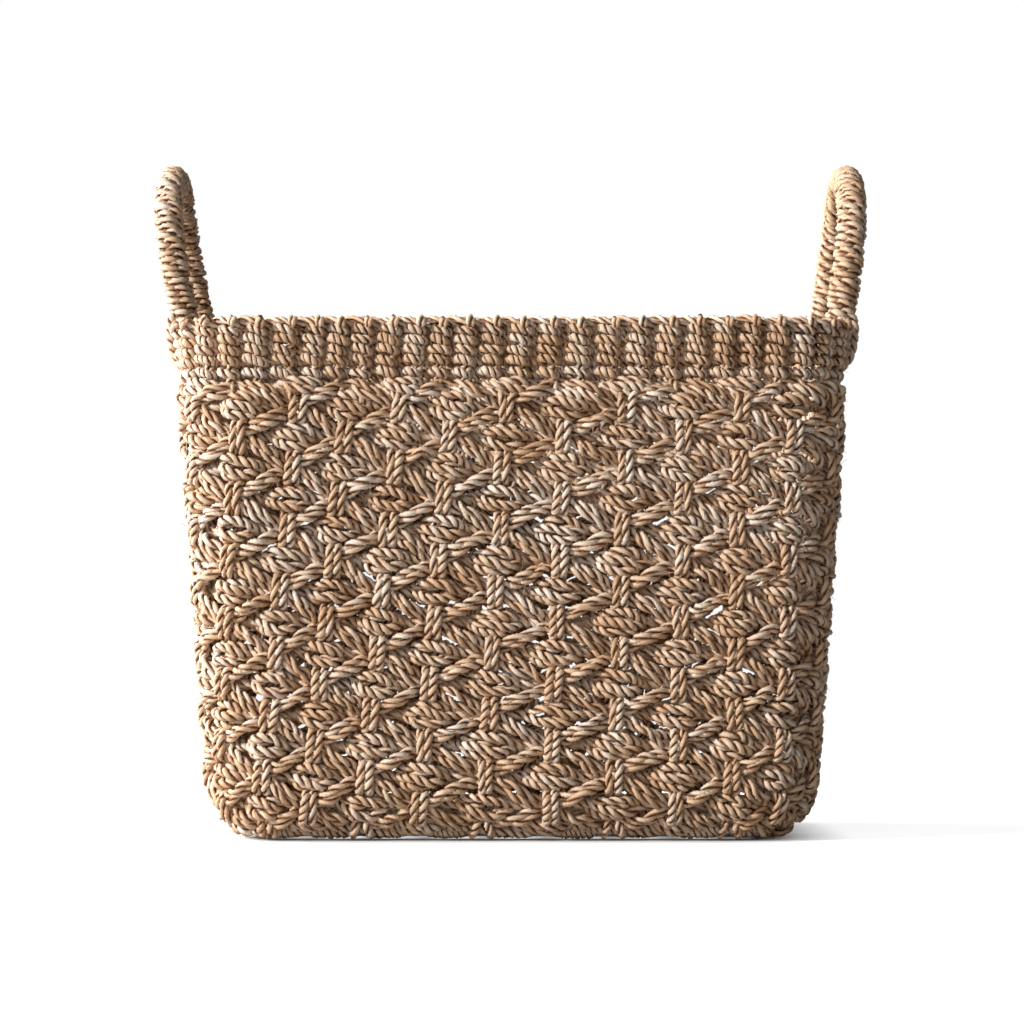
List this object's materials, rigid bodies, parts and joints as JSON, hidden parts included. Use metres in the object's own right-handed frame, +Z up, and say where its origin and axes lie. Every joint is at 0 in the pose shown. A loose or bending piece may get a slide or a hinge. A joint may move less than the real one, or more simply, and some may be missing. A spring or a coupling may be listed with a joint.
{
  "type": "magazine basket",
  "caption": "Hand-woven rope basket with a rectangular tapered body, a close twined rim band and two wrapped rope loop handles that flex, for magazines.",
  "frame": {"origin": "on the floor, under the middle of the basket", "axes": "+X along the long sides, from one handle to the other; +Y from the front wall to the back wall; +Z up"},
  "size_m": [0.4456, 0.26, 0.4249],
  "materials": {
    "weft_rope": "natural two-ply twisted straw rope, dry and slightly glossy fibres",
    "stake_rope": "natural two-ply twisted straw rope in pairs",
    "rim_rope": "natural two-ply twisted straw rope, close twined",
    "base_rope": "natural two-ply twisted straw rope, duller underside",
    "handle_rope": "natural two-ply twisted straw rope, wound in pairs",
    "core_rope": "rope core hidden in the winding"
  },
  "bodies": {
    "basket": {"body_weft_row_1": "weft_rope", "body_weft_row_2": "weft_rope", "body_weft_row_3": "weft_rope", "body_weft_row_4": "weft_rope", "body_weft_row_5": "weft_rope", "body_weft_row_6": "weft_rope", "body_weft_row_7": "weft_rope", "body_weft_row_8": "weft_rope", "body_weft_row_9": "weft_rope", "body_weft_row_10": "weft_rope", "body_weft_row_11": "weft_rope", "body_weft_row_12": "weft_rope", "body_weft_row_13": "weft_rope", "body_weft_row_14": "weft_rope", "base_edge_row": "weft_rope", "rim_twined_row_1": "rim_rope", "rim_twined_row_2": "rim_rope", "rim_twined_row_3": "rim_rope", "rim_twined_row_4": "rim_rope", "rim_twined_row_5": "rim_rope", "border_rope": "rim_rope", "front_to_back_stakes_1": "stake_rope", "front_to_back_stakes_2": "stake_rope", "front_to_back_stakes_3": "stake_rope", "front_to_back_stakes_4": "stake_rope", "front_to_back_stakes_5": "stake_rope", "front_to_back_stakes_6": "stake_rope", "front_to_back_stakes_7": "stake_rope", "front_to_back_stakes_8": "stake_rope", "front_to_back_stakes_9": "stake_rope", "front_to_back_stakes_10": "stake_rope", "front_to_back_stakes_11": "stake_rope", "end_to_end_stakes_1": "stake_rope", "end_to_end_stakes_2": "stake_rope", "end_to_end_stakes_3": "stake_rope", "end_to_end_stakes_4": "stake_rope", "end_to_end_stakes_5": "stake_rope", "end_to_end_stakes_6": "stake_rope", "corner_stakes_front_right": "stake_rope", "corner_stakes_back_right": "stake_rope", "corner_stakes_back_left": "stake_rope", "corner_stakes_front_left": "stake_rope", "base_filler_1": "base_rope", "base_filler_2": "base_rope", "base_filler_3": "base_rope", "base_filler_4": "base_rope", "base_filler_5": "base_rope", "handle_anchor_left_front": "handle_rope", "handle_anchor_left_back": "handle_rope", "handle_anchor_right_front": "handle_rope", "handle_anchor_right_back": "handle_rope"},
    "handle_left": {"handle_core_left": "core_rope", "handle_wrap_left": "handle_rope"},
    "handle_right": {"handle_core_right": "core_rope", "handle_wrap_right": "handle_rope"}
  },
  "joints": [
    {"name": "handle_left_flex", "type": "hinge", "parent": "basket", "child": "handle_left", "pos_m": [-0.201, 0, 0.3273], "axis": [0, -1, 0], "range_deg": [-25, 30], "stiffness_Nm_per_rad": 1.5},
    {"name": "handle_right_flex", "type": "hinge", "parent": "basket", "child": "handle_right", "pos_m": [0.201, 0, 0.3273], "axis": [0, 1, 0], "range_deg": [-25, 30], "stiffness_Nm_per_rad": 1.5}
  ]
}
